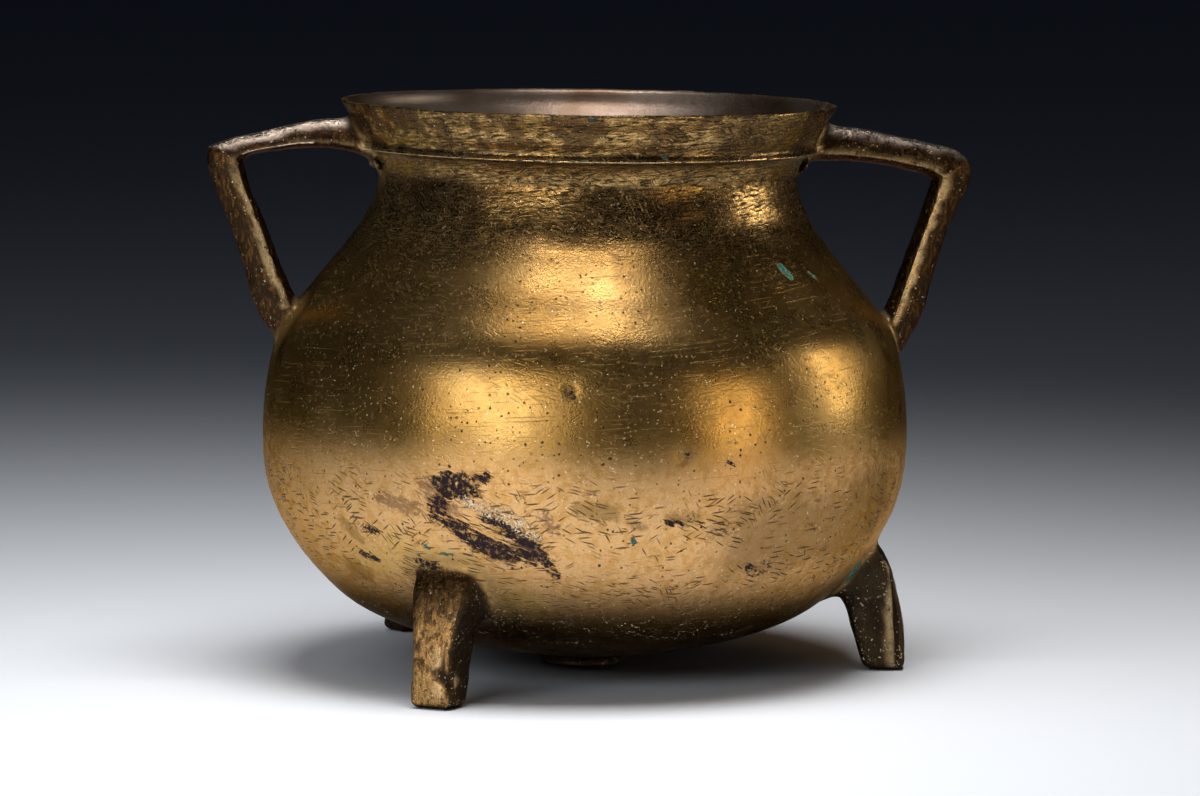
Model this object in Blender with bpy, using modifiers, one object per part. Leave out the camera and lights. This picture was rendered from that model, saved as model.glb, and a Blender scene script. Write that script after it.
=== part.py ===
"""Bronze tripod cooking pot: one casting, with a hollow belly, a banded rim, two elbow handles and three feet.

Metres, +Z up. The origin is on the floor under the middle of the pot's outline, and +X runs along
the line of the handles. The pot leans a little on its three uneven feet, so everything is placed
under one tilted empty, and the feet are cut level with the floor.
"""
import math

import bmesh
import bpy
from mathutils import Vector

MM = 0.001

# Place and lean of the pot's own axis, in millimetres and degrees.
AXIS_X = -2.3
AXIS_Y = 0.0
LEAN = 0.86
LEAN_TOWARD = -9.0
BELLY_MID_Z = 68.4

# Rim, from the outer edge of the lip down to the step under the cordon, as radius and height.
RIM_OUTER = [
    (71.5, 165.2),
    (71.8, 164.2),
    (70.9, 162.5),
    (68.8, 159.4),
    (67.1, 155.6),
    (65.4, 152.0),
    (64.6, 151.0),
    (62.6, 149.7),
    (61.7, 146.0),
]
RIM_INNER = [(58.4, 146.0), (60.8, 150.2), (64.6, 155.6), (68.1, 160.8), (69.4, 165.2)]

# Neck and belly, as radius and height of the points that a smooth curve runs through.
BELLY = [
    (61.2, 142.4),
    (65.9, 129.5),
    (79.0, 112.5),
    (88.7, 99.4),
    (92.5, 85.0),
    (93.8, 69.0),
    (92.2, 54.0),
    (87.2, 41.8),
    (78.6, 30.0),
    (67.3, 19.6),
    (50.6, 11.9),
    (28.0, 6.6),
    (0.0, 3.3),
]
POINTS_PER_SPAN = 2
WALL = 3.2
TURN_STEPS = 64

# Stump of the casting gate under the belly.
GATE_RADIUS = 12.6
GATE_BOTTOM_Z = 1.2
GATE_TOP_Z = 5.5

# A handle is a row of sections: the point on its outer side and the one on its inner side, both as
# radius and height, then the half width across.
HANDLE_LEFT = [
    ((73.9, 160.4), (65.2, 147.2), 7.0),
    ((79.0, 159.8), (73.0, 149.7), 5.9),
    ((85.2, 158.8), (84.0, 149.8), 5.3),
    ((93.0, 156.8), (91.8, 149.0), 5.2),
    ((102.2, 154.4), (97.4, 148.1), 5.3),
    ((112.4, 151.8), (99.4, 146.6), 5.6),
    ((109.7, 141.4), (97.0, 138.9), 5.6),
    ((104.6, 129.2), (92.5, 128.5), 5.6),
    ((100.4, 117.0), (88.0, 117.0), 5.7),
    ((96.8, 104.5), (83.8, 108.4), 6.2),
]
HANDLE_RIGHT = [
    ((73.9, 158.8), (65.2, 146.6), 7.0),
    ((79.6, 158.1), (74.0, 147.0), 5.9),
    ((86.4, 156.9), (85.4, 146.1), 5.3),
    ((96.7, 154.7), (93.4, 144.6), 5.2),
    ((105.8, 152.8), (98.0, 143.4), 5.3),
    ((114.6, 149.4), (100.2, 141.8), 5.6),
    ((113.4, 140.8), (98.2, 135.0), 5.6),
    ((107.6, 128.6), (94.6, 124.6), 5.6),
    ((103.8, 117.1), (91.0, 114.2), 5.7),
    ((99.5, 102.0), (87.4, 105.0), 6.2),
]
HANDLE_TOP_ROOT = (161.0, 141.4, 9.0)
LOW_ROOT_LEFT = (93.2, 105.0, 7.4)
LOW_ROOT_RIGHT = (86.2, 101.5, 7.4)
HANDLE_ARRIS = -0.5
HANDLE_ROUNDNESS = 1.5

# A foot is the same kind of row, from under the floor up to the belly. Each foot has its direction
# in degrees and how much further out it stands on the floor than this row.
FOOT = [
    ((94.3, -4.0), (83.4, -4.0), 7.0),
    ((94.4, 4.0), (81.2, 3.0), 7.0),
    ((94.2, 14.0), (77.8, 13.0), 7.2),
    ((92.7, 22.0), (75.5, 20.5), 8.0),
    ((90.0, 32.0), (72.6, 22.0), 9.8),
]
FOOT_ROOT = (40.5, 19.0, 11.0)
FOOT_ROOT_Z = 40.0
FOOT_ROUNDNESS = 5.0
FEET = [(-10.9, 0.0), (-125.9, -0.9), (115.7, 3.7)]

SECTION_POINTS = 16
ROOT_DEPTH = 1.6


def clear_scene():
    for obj in list(bpy.data.objects):
        bpy.data.objects.remove(obj, do_unlink=True)


def new_collection(name):
    collection = bpy.data.collections.new(name)
    bpy.context.scene.collection.children.link(collection)
    return collection


def bronze_material():
    material = bpy.data.materials.new("bronze")
    material.use_nodes = True
    shader = material.node_tree.nodes["Principled BSDF"]
    shader.inputs["Base Color"].default_value = (0.30, 0.19, 0.08, 1.0)
    shader.inputs["Metallic"].default_value = 1.0
    shader.inputs["Roughness"].default_value = 0.38
    return material


def smooth_curve(points, count):
    """Catmull-Rom curve through the points, with count points on each span."""
    first = (2 * points[0][0] - points[1][0], 2 * points[0][1] - points[1][1])
    last = (-points[-2][0], points[-2][1])
    padded = [first] + points + [last]
    curve = []
    for a, b, c, d in zip(padded, padded[1:], padded[2:], padded[3:]):
        for step in range(count):
            t = step / count
            curve.append(tuple(
                0.5 * (2 * q + (r - p) * t + (2 * p - 5 * q + 4 * r - s) * t * t
                       + (3 * q - p - 3 * r + s) * t ** 3)
                for p, q, r, s in zip(a, b, c, d)))
    return curve + [points[-1]]


def moved_inward(curve, depth):
    """The curve set back by depth along its normal, towards the inside of the pot."""
    moved = []
    for i, (r, z) in enumerate(curve):
        before, after = curve[max(i - 1, 0)], curve[min(i + 1, len(curve) - 1)]
        run, fall = after[0] - before[0], after[1] - before[1]
        if i == len(curve) - 1:
            fall = 0.0
        length = math.hypot(run, fall)
        moved.append((max(r + depth * fall / length, 0.0), z - depth * run / length))
    return moved


def wall_point(z, depth):
    """Point of the wall at height z on its outer face, set back by depth into the metal."""
    curve = moved_inward(RIM_OUTER + smooth_curve(BELLY, POINTS_PER_SPAN), depth)
    for (r0, z0), (r1, z1) in zip(curve, curve[1:]):
        if z1 <= z <= z0:
            return (r0 + (r1 - r0) * (z0 - z) / (z0 - z1), z)
    raise ValueError(f"the wall has no point at height {z}")


def add_mesh(name, verts, edges, faces, collection, parent):
    mesh = bpy.data.meshes.new(name)
    mesh.from_pydata([Vector(v) * MM for v in verts], edges, faces)
    obj = bpy.data.objects.new(name, mesh)
    collection.objects.link(obj)
    obj.parent = parent
    return obj


def turned_body(collection, parent):
    """The wall as one closed profile: up the inside, over the lip and down the outside."""
    belly = smooth_curve(BELLY, POINTS_PER_SPAN)
    inside = moved_inward(BELLY, WALL)[::-1]
    profile = inside + RIM_INNER + RIM_OUTER + belly
    verts = [(r, 0.0, z - BELLY_MID_Z) for r, z in profile]
    edges = [(i, i + 1) for i in range(len(verts) - 1)]
    body = add_mesh("cooking_pot", verts, edges, [], collection, parent)
    screw = body.modifiers.new("turn", "SCREW")
    screw.axis = "Z"
    screw.steps = TURN_STEPS
    screw.render_steps = TURN_STEPS
    screw.use_merge_vertices = True
    screw.merge_threshold = 0.00005
    screw.use_smooth_shade = True
    return body


def section(outer, inner, half_width, roundness, arris, azimuth):
    """Closed ring across a limb; roundness 1 is a diamond, 2 an ellipse and more is boxy.

    arris slides the widest place towards the outer side (positive) or the inner side (negative).
    """
    middle = ((outer[0] + inner[0]) / 2, (outer[1] + inner[1]) / 2)
    half = ((outer[0] - inner[0]) / 2, (outer[1] - inner[1]) / 2)
    ring = []
    for k in range(SECTION_POINTS):
        turn = 2 * math.pi * k / SECTION_POINTS
        u = math.copysign(abs(math.cos(turn)) ** (2 / roundness), math.cos(turn))
        v = math.copysign(abs(math.sin(turn)) ** (2 / roundness), math.sin(turn))
        u += arris * (1 - abs(u))
        r, z, across = middle[0] + u * half[0], middle[1] + u * half[1], v * half_width
        x = r * math.cos(azimuth) - across * math.sin(azimuth)
        y = r * math.sin(azimuth) + across * math.cos(azimuth)
        ring.append((x, y, z - BELLY_MID_Z))
    return ring


def limb(name, rows, roundness, arris, azimuth, collection, parent):
    """Closed loft through a row of unlike sections."""
    rings = [section(*row, roundness, arris, azimuth) for row in rows]
    verts = [point for ring in rings for point in ring]
    n = SECTION_POINTS
    faces = [tuple(range(n)), tuple(range(len(verts) - 1, len(verts) - 1 - n, -1))]
    for start in range(0, len(verts) - n, n):
        for k in range(n):
            after = (k + 1) % n
            faces.append((start + k, start + n + k, start + n + after, start + after))
    obj = add_mesh(name, verts, [], faces, collection, parent)
    mesh = bmesh.new()
    mesh.from_mesh(obj.data)
    bmesh.ops.recalc_face_normals(mesh, faces=mesh.faces)
    mesh.to_mesh(obj.data)
    mesh.free()
    return obj


def handle(name, rows, low_root, azimuth, collection, parent):
    """Elbow handle whose two ends stop inside the wall."""
    top, low, half_width = HANDLE_TOP_ROOT
    start = (wall_point(top, ROOT_DEPTH), wall_point(low, ROOT_DEPTH), half_width)
    low, high, half_width = low_root
    end = (wall_point(low, ROOT_DEPTH), wall_point(high, ROOT_DEPTH), half_width)
    return limb(name, [start] + rows + [end], HANDLE_ROUNDNESS, HANDLE_ARRIS, azimuth, collection, parent)


def foot(name, degrees, spread, collection, parent):
    """Splayed foot, whose upper end stops inside the wall."""
    rows = []
    for outer, inner, half_width in FOOT:
        moved = [(r + spread * (1 - z / FOOT_ROOT_Z), z) for r, z in (outer, inner)]
        rows.append((*moved, half_width))
    high, low, half_width = FOOT_ROOT
    root = (wall_point(high, ROOT_DEPTH), wall_point(low, ROOT_DEPTH), half_width)
    return limb(name, rows + [root], FOOT_ROUNDNESS, 0.0, math.radians(degrees), collection, parent)


def gate_stump(collection, parent):
    bpy.ops.mesh.primitive_cylinder_add(
        vertices=32, radius=GATE_RADIUS * MM, depth=(GATE_TOP_Z - GATE_BOTTOM_Z) * MM)
    stump = bpy.context.object
    stump.name = "gate_stump"
    stump.location.z = ((GATE_TOP_Z + GATE_BOTTOM_Z) / 2 - BELLY_MID_Z) * MM
    stump.parent = parent
    for owner in list(stump.users_collection):
        owner.objects.unlink(stump)
    collection.objects.link(stump)
    return stump


def floor_block(collection):
    bpy.ops.mesh.primitive_cube_add(size=0.3, location=(0.0, 0.0, -0.15))
    block = bpy.context.object
    block.name = "floor_cut"
    for owner in list(block.users_collection):
        owner.objects.unlink(block)
    collection.objects.link(block)
    return block


def combine(target, tool, operation):
    tool.hide_render = True
    tool.display_type = "WIRE"
    change = target.modifiers.new(tool.name, "BOOLEAN")
    change.operation = operation
    change.solver = "EXACT"
    change.object = tool


def main():
    clear_scene()
    parts = new_collection("bronze_tripod_cooking_pot")
    tools = new_collection("cutters")

    tilt = bpy.data.objects.new("pot_axis", None)
    parts.objects.link(tilt)
    tilt.location = Vector((AXIS_X, AXIS_Y, BELLY_MID_Z)) * MM
    toward = math.radians(LEAN_TOWARD)
    tilt.rotation_mode = "AXIS_ANGLE"
    tilt.rotation_axis_angle = (math.radians(LEAN), -math.sin(toward), math.cos(toward), 0.0)

    pot = turned_body(parts, tilt)
    pot.data.materials.append(bronze_material())
    limbs = [
        handle("handle_right", HANDLE_RIGHT, LOW_ROOT_RIGHT, 0.0, tools, tilt),
        handle("handle_left", HANDLE_LEFT, LOW_ROOT_LEFT, math.pi, tools, tilt),
        gate_stump(tools, tilt),
    ]
    for number, (degrees, spread) in enumerate(FEET, 1):
        limbs.append(foot(f"foot_{number}", degrees, spread, tools, tilt))
    for tool in limbs:
        combine(pot, tool, "UNION")
    combine(pot, floor_block(tools), "DIFFERENCE")
    pot.data.shade_smooth()


main()
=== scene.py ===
"""Looks of the bronze tripod cooking pot: its worn cast surface, patina and studio view.

Metres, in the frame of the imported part. Tables of dimensions are in millimetres, measured in the pot's
own upright frame, which then leans a little on its feet.
"""

import math

import bmesh
import bpy
import numpy as np
from mathutils import Matrix, Vector, noise
from mathutils.kdtree import KDTree


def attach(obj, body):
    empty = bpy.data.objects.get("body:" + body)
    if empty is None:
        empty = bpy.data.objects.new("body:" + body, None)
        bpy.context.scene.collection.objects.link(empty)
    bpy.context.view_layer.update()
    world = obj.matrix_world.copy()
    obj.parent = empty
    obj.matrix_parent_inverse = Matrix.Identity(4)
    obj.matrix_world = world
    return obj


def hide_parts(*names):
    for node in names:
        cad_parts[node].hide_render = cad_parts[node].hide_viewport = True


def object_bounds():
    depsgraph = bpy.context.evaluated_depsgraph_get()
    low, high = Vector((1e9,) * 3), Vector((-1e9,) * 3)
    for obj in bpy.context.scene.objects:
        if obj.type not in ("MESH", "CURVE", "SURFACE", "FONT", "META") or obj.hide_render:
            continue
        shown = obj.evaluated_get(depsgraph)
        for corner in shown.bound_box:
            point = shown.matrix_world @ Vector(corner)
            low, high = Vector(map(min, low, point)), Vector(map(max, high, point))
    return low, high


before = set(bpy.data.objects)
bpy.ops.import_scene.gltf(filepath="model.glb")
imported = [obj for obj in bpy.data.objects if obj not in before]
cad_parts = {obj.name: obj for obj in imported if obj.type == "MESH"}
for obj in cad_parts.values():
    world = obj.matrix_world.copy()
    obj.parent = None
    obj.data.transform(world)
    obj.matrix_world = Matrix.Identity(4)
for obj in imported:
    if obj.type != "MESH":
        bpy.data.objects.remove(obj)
cad_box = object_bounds()

MM = 0.001

# Place and lean of the pot's own axis, in millimetres and degrees.
AXIS_X = -2.3
LEAN = 0.86
LEAN_TOWARD = -9.0
BELLY_MID_Z = 68.4

# Rim from the lip down its outer side, then the neck and belly that a smooth curve runs through.
LIP = [(69.5, 165.0), (70.0, 165.2), (71.3, 165.2), (71.7, 164.9)]
BAND = [(71.75, 164.2), (70.9, 162.5), (68.8, 159.4), (67.1, 155.6), (65.3, 153.2)]
CORDON = [
    (65.4, 152.6), (66.0, 152.0), (66.4, 151.4), (66.2, 150.8), (65.3, 150.3), (64.0, 149.9), (62.6, 149.2),
]
CORDON_Z = 151.4
BELLY = [
    (61.7, 146.0), (61.2, 142.4), (65.9, 129.5), (79.0, 112.5), (88.7, 99.4), (92.5, 85.0), (93.75, 69.0),
    (92.2, 54.0), (87.2, 41.8), (78.6, 30.0), (67.3, 19.6), (50.6, 11.9), (28.0, 6.6), (0.0, 3.3),
]
RIM_INNER = [(58.5, 146.0), (60.8, 150.2), (64.6, 155.6), (68.0, 160.8)]
WALL = 3.2

# How fine the mesh is: faces round the pot, points on each span of the belly's two curves, and the
# length of a face down each line.
COLUMNS = 320
OUTER_SPAN = 24
INNER_SPAN = 6
OUTER_STEP = 1.5
INNER_STEP = 3.4
BAND_STEP = 1.0
RIM_STEP = 1.2

# The stump of the casting gate.
GATE_RADIUS = 12.6
GATE_BOTTOM_Z = 1.2
GATE_TOP_Z = 5.5
GATE_COLUMNS = 64
GATE_SIDE_STEP = 1.0
GATE_BOTTOM_STEP = 2.5

# A handle is a row of sections: a point on its outer side and one on its inner side, both as radius
# and height, then the half width across. A root is two heights on the wall and the half width. The elbow
# is at ELBOW_ROW, counted from the root at the top.
HANDLE_LEFT = [
    ((73.9, 160.4), (65.2, 147.2), 7.0),
    ((79.0, 159.8), (73.0, 149.7), 5.9),
    ((85.2, 158.8), (84.0, 149.8), 5.3),
    ((93.0, 156.8), (91.8, 149.0), 5.2),
    ((102.2, 154.4), (97.4, 148.1), 5.3),
    ((112.4, 151.8), (99.4, 146.6), 5.6),
    ((109.7, 141.4), (97.0, 138.9), 5.6),
    ((104.6, 129.2), (92.5, 128.5), 5.6),
    ((100.4, 117.0), (88.0, 117.0), 5.7),
    ((96.8, 104.5), (83.8, 108.4), 6.2),
]
HANDLE_RIGHT = [
    ((73.9, 158.8), (65.2, 146.6), 7.0),
    ((79.6, 158.1), (74.0, 147.0), 5.9),
    ((86.4, 156.9), (85.4, 146.1), 5.3),
    ((96.7, 154.7), (93.4, 144.6), 5.2),
    ((105.8, 152.8), (98.0, 143.4), 5.3),
    ((114.6, 149.4), (100.2, 141.8), 5.6),
    ((113.4, 140.8), (98.2, 135.0), 5.6),
    ((107.6, 128.6), (94.6, 124.6), 5.6),
    ((103.8, 117.1), (91.0, 114.2), 5.7),
    ((99.5, 102.0), (87.4, 105.0), 6.2),
]
ELBOW_ROW = 6
HANDLE_TOP_ROOT = (161.0, 141.4, 9.0)
LOW_ROOT_LEFT = (93.2, 105.0, 7.4)
LOW_ROOT_RIGHT = (86.2, 101.5, 7.4)
HANDLE_ARRIS = -0.5
HANDLE_ROUNDNESS = 1.7
HANDLE_AROUND = 40
HANDLE_ALONG = 1.0

# A foot is the same kind of row, from under the floor up to the belly, with its direction in degrees
# and how much further out it stands on the floor than this row.
FOOT = [
    ((94.3, -4.0), (83.4, -4.0), 7.0),
    ((94.4, 4.0), (81.2, 3.0), 7.0),
    ((94.2, 14.0), (77.8, 13.0), 7.2),
    ((92.7, 22.0), (75.5, 20.5), 8.0),
    ((90.0, 32.0), (72.6, 22.0), 9.8),
]
FOOT_ROOT = (40.5, 19.0, 11.0)
FOOT_ROOT_Z = 40.0
FOOT_ROUNDNESS = 5.0
FEET = [(-10.9, 0.0), (-125.9, -0.9), (115.7, 3.7)]
FRONT_FOOT = 1
FOOT_AROUND = 60
FOOT_ALONG = 0.9

ROOT_DEPTH = 1.6

# The block that cuts the feet flat on the floor.
CUT_SIZE = 400.0

# Joints of the limbs with the body: slivers shorter than SEAM_MERGE go, and smoothing between the two
# distances in FILLET makes the round hollow of a casting, less of it at the gate stump.
SAME_POINT = 1e-9
ON_WALL = 0.05
OFF_WALL = 0.12
SEAM_MERGE = 0.4
SEAM_REACH = 1.6
HOLE_SIDES = 8
SMOOTHING = 0.6
FILLET = (0.5, 6.5)
FILLET_ABOVE_FLOOR = (0.5, 3.0)
FILLET_ROUNDS = 9
GATE_SHARPER = 3.5
GATE_MARGIN = 4.0
INNER_FACE = -1.0

# The handles' elbows, smoothed round between two distances from the corner.
ELBOW = (2.0, 7.0)
ELBOW_HALF_WIDTH = 6.0
ELBOW_ROUNDS = 16

# The feet's lower edges. Only what is further out than FOOT_INNER_RADIUS is a foot, and only a surface
# whose normal is level by more than the first of LEVEL_ENOUGH is worn.
FOOT_WEAR = 2.4
FOOT_INNER_RADIUS = 60.0
LEVEL_ENOUGH = (0.2, 0.3)

# Dents and waves of the casting: depth, width of the bumps and seed. A bump may have one width per axis.
DENTS = {
    "all": [(0.34, 42.0, 1), (0.1, 15.0, 2)],
    "neck": [(0.34, (17.0, 17.0, 4.8), 3), (0.1, (7.0, 7.0, 2.6), 9)],
    "band": [(0.16, (13.0, 13.0, 5.0), 4)],
    "limb": [(0.24, 5.0, 5), (0.15, 2.6, 6)],
    "lip": [(0.22, 24.0, 7), (0.1, 5.0, 8)],
}
SEED_SHIFT = (17.3, 5.1, -9.7)
SHARE_INSIDE = 0.2
LESS_AT_LIP = 0.35
LESS_AT_FOOT = 0.5

# Distances outside the turned surface between which a limb starts, and the inner face ends.
LIMB_OUT = (0.3, 2.0)
INSIDE_OUT = (-0.6, -1.6)
DENT_INSIDE_OUT = -0.5

# Heights between which one region of the surface passes into the next.
FOOT_END_Z = (2, 16)
# Below these heights the belly darkens: soot and painted shade underneath.
SOOT_AND_SHADE_Z = (17, 37)
RUBBED_START_Z = (16, 34)
RUBBED_END_Z = (62, 78)
UPPER_Z = (118, 132)
NECK_START_Z = (124, 134)
NECK_END_Z = (149, 151)
HANDLE_ROOT_Z = (138, 146)
INNER_RIM_Z = 146
BAND_Z = (149, 152)
BAND_DENT_Z = (151, 153)
BAND_SMOOTHER_Z = (154, 160)
LIP_Z = (158, 165)
LIP_RADIUS = 76

# Parts of a surface's direction between which it counts as facing inwards, outwards, up or sideways.
INWARD = (-0.1, -0.5)
OUTWARD = (0.45, 0.85)
UPWARD = (0.45, 0.9)
SIDEWAYS = (0.95, 0.995)

# How strongly the painted highlights on edges, the soot and painted shade on the feet, the grooves and the
# painted shade by the joints show.
LEFT_HANDLE_EDGE = 0.45
LESS_AT_ROOT = 0.6
FOOT_SOOT_AND_SHADE = 0.85
RIDGE_EDGE = 0.45
GROOVE_CORE = 0.35
CORDON_EDGE = (0.3, 1.1)
JOINT_SHADE = (1.0, 5.0)

# Grooves, or with a negative depth ridges, as start, end, reach and depth. On the body a place is x, y
# and z. On a foot it is the distance from the pot's axis, the distance to the side and the height, after
# the number of the foot. Pits are azimuth in degrees, height, reach and depth.
GROOVES = [
    ((-99.8, -4.0, 113.0), (-91.5, -5.5, 107.6), 1.5, 0.9),
]
FOOT_GROOVES = [
    (0, (88.6, -7.3, 33.0), (90.4, -7.3, 1.0), 1.7, -0.55),
    (0, (90.8, -7.3, 33.0), (92.4, -7.3, 1.0), 1.5, 1.3),
    (0, (84.6, -7.3, 26.0), (85.6, -7.3, 8.0), 1.6, 0.5),
    (1, (94.6, 1.8, 34.0), (94.6, 3.4, 4.0), 1.4, -0.5),
    (1, (94.6, 4.6, 30.0), (94.6, 4.8, 9.0), 1.3, 0.45),
    (1, (94.4, 3.6, 9.4), (92.6, 7.0, 7.6), 3.0, 1.6),
    (1, (94.6, 3.6, 14.0), (94.6, 4.6, 11.6), 1.8, -0.35),
    (1, (94.0, 6.2, 31.0), (94.6, 6.1, 13.0), 1.2, -0.35),
    (2, (94.6, -2.0, 32.0), (94.6, -2.6, 4.0), 1.5, -0.4),
]
PITS = [
    (-65.7, 38.7, 2.4, 0.7), (-81.3, 43.4, 1.8, 0.5), (-101.3, 89.6, 2.0, 0.6), (-82.2, 71.9, 2.0, 0.6),
    (-140.5, 47.5, 2.5, 0.4), (-129.0, 27.5, 2.2, 1.2), (-136.0, 29.0, 1.8, 0.9), (-121.0, 33.0, 1.8, 0.9),
]
PIT_TURN = 0.1

# Where the patina changes, by attribute: lines on the outer face, each as the azimuth in degrees and
# the height of its two ends and then its reach.
STAINS = {
    "crust": [
        (-124.4, 63.3, -120.5, 64.3, 3.4), (-120.5, 64.3, -116.0, 65.0, 2.6),
        (-122.9, 60.8, -118.3, 62.0, 4.6), (-124.2, 58.3, -125.0, 54.3, 3.6),
        (-124.1, 52.3, -121.4, 50.6, 3.2), (-121.4, 50.6, -118.3, 46.8, 4.4),
        (-118.3, 46.8, -112.7, 42.9, 4.8), (-112.7, 43.2, -106.5, 42.6, 3.6),
        (-105.4, 41.4, -103.6, 37.0, 2.6), (-115.4, 53.6, -113.4, 52.0, 3.8),
        (-113.0, 50.6, -109.0, 48.4, 3.0), (-110.4, 46.4, -107.6, 46.0, 3.0),
        (-141.0, 47.5, -139.5, 47.8, 2.6), (-65.9, 38.7, -65.0, 38.5, 2.6),
        (-130.5, 36.2, -129.0, 35.4, 3.4), (-145.5, 40.0, -142.0, 38.5, 2.4),
        (-101.3, 89.6, -101.2, 88.6, 2.0), (-82.2, 71.9, -80.6, 72.6, 1.8), (-73.4, 70.6, -72.8, 68.0, 1.2),
        (-84.9, 53.5, -77.6, 52.6, 1.1), (-130.9, 39.5, -127.0, 38.0, 2.4),
    ],
    "lime": [
        (-119.5, 58.2, -116.1, 56.2, 2.6), (-116.1, 56.2, -112.1, 54.3, 3.6),
        (-112.1, 54.3, -109.0, 51.0, 4.2), (-109.0, 51.0, -107.1, 49.0, 3.0),
    ],
    "rust": [
        (-136.7, 57.3, -129.4, 55.4, 4.5), (-127.4, 62.5, -125.0, 61.0, 4.5),
        (-105.6, 54.7, -104.0, 51.0, 3.5), (-111.0, 46.6, -107.0, 44.5, 5.0),
        (-125.5, 57.5, -122.0, 55.5, 5.0), (-116.0, 44.5, -112.0, 41.5, 4.0),
    ],
    "verdigris": [
        (-49.0, 121.4, -47.6, 119.0, 3.0), (-39.5, 119.6, -38.4, 117.6, 1.8),
        (-100.6, 155.0, -100.4, 151.9, 1.2), (-80.3, 152.9, -79.2, 152.6, 1.3),
        (-109.9, 153.9, -109.2, 153.7, 1.0), (-20.0, 33.0, -17.0, 28.0, 4.0),
        (-98.6, 163.4, -97.6, 163.5, 1.2), (-3.0, 147.0, -1.0, 143.0, 4.0),
        (-129.5, 44.5, -127.9, 43.6, 1.6), (-125.6, 42.3, -124.0, 42.0, 1.6),
        (-90.5, 49.5, -89.5, 47.0, 1.8),
    ],
    "golden": [
        (-146.8, 37.7, -135.6, 39.4, 12.0), (-135.6, 42.0, -121.3, 37.1, 13.0),
        (-121.3, 33.1, -110.5, 28.5, 13.0),
    ],
    "stain": [
        (-83.9, 54.9, -78.6, 54.3, 4.0), (-151.0, 34.0, -149.0, 34.0, 9.0), (-99.0, 57.0, -94.0, 56.0, 6.0),
        (-147.9, 49.3, -144.1, 44.0, 4.0),
    ],
    # Darker patina with painted shade: the band's right side, the dark line under the cordon and the
    # belly's right.
    "dark_patina_and_shade": [
        (-60.0, 157.0, -30.0, 157.0, 16.0), (-150.0, 142.0, -130.0, 140.0, 12.0),
        (-80.0, 139.0, -60.0, 138.0, 9.0), (-112.0, 145.0, -70.0, 145.5, 4.0),
        (-118.0, 66.0, -88.0, 52.0, 2.0), (-66.0, 47.0, -35.0, 52.0, 26.0),
    ],
}

# Base colours of the metal and of what lies on it, as linear red, green and blue.
UPPER_DARK = (0.29, 0.165, 0.044)
UPPER_LIGHT = (0.43, 0.27, 0.092)
PATINA = (0.11, 0.064, 0.026)
RUBBED = (0.55, 0.3, 0.098)
RUBBED_PALE = (0.74, 0.45, 0.2)
BAND_LIGHT = (0.6, 0.385, 0.155)
LIMB_DARK = (0.028, 0.016, 0.008)
LIMB_BROWN = (0.14, 0.064, 0.018)
GOLD = (0.58, 0.39, 0.11)
INSIDE_DARK = (0.19, 0.125, 0.078)
INSIDE_LIGHT = (0.4, 0.32, 0.26)
# Wear on raised edges, and a painted highlight on the arrises and the cordon that catch the light.
EDGE_WEAR_AND_HIGHLIGHT = (0.8, 0.58, 0.3)
# Dirt, which also paints shade in hollow corners and by the joints.
DIRT_AND_SHADE = (0.014, 0.008, 0.004)
SPECK = (0.85, 0.72, 0.5)
STAIN = (0.22, 0.12, 0.03)
RUST = (0.075, 0.026, 0.028)
CRUST = (0.018, 0.01, 0.016)
LIME = (0.86, 0.68, 0.46)
VERDIGRIS = (0.075, 0.22, 0.17)
VERDIGRIS_DARK = (0.012, 0.055, 0.042)
# Rubbed metal with painted light, on the front foot's face toward the key light.
RUBBED_LIT_FACE = (0.4, 0.23, 0.085)
# Polish with a painted highlight, on the handles' upward faces.
POLISHED_HIGHLIGHT = (0.92, 0.78, 0.64)
# Soot with painted shade, under the belly, at the gate and on the feet's sides.
UNDER_SOOT_AND_SHADE = (0.034, 0.026, 0.016)

# Reflection at a glancing angle, which a bare metal would have white.
EDGE_ON = (0.5, 0.37, 0.24, 1.0)

# File strokes: direction in degrees, length and width of the cell that each gets in millimetres, seed,
# and how large the noise must be for them to show.
STROKES = [
    (6.0, 12.0, 1.25, 1.3, 0.44),
    (-14.0, 11.0, 1.15, 2.2, 0.47),
    (-30.0, 10.0, 1.15, 2.9, 0.5),
    (34.0, 10.0, 1.15, 4.7, 0.52),
    (-60.0, 9.0, 1.15, 6.1, 0.55),
]
BELLY_RADIUS = 93.0

# Cells in millimetres that each hold one pit of the material.
SMALL_CELL = 1.5
LARGE_CELL = 7.0

# Heights of marks, from where each starts to where it is full.
STROKES_BELOW_Z = (74.0, 58.0)
STROKES_ABOVE_Z = (126.0, 134.0)
NECK_MARKS_Z = (122.0, 134.0)
EDGES_ABOVE_Z = (2.0, 5.0)
BARE_FACE_Z = (31.0, 21.0)

# Lamps, in metres, degrees and watts. Two overhead boxes light the floor, the second from further left.
OVERHEAD_TILT = 9.0
OVERHEAD_SIZE = (0.5, 0.4)
OVERHEAD_NEARER = 0.17
OVERHEAD_RIGHT = 0.03
OVERHEAD_Z = 0.8
FILL_LEFT = 0.6
FILL_HIGHER = 0.05

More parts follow.
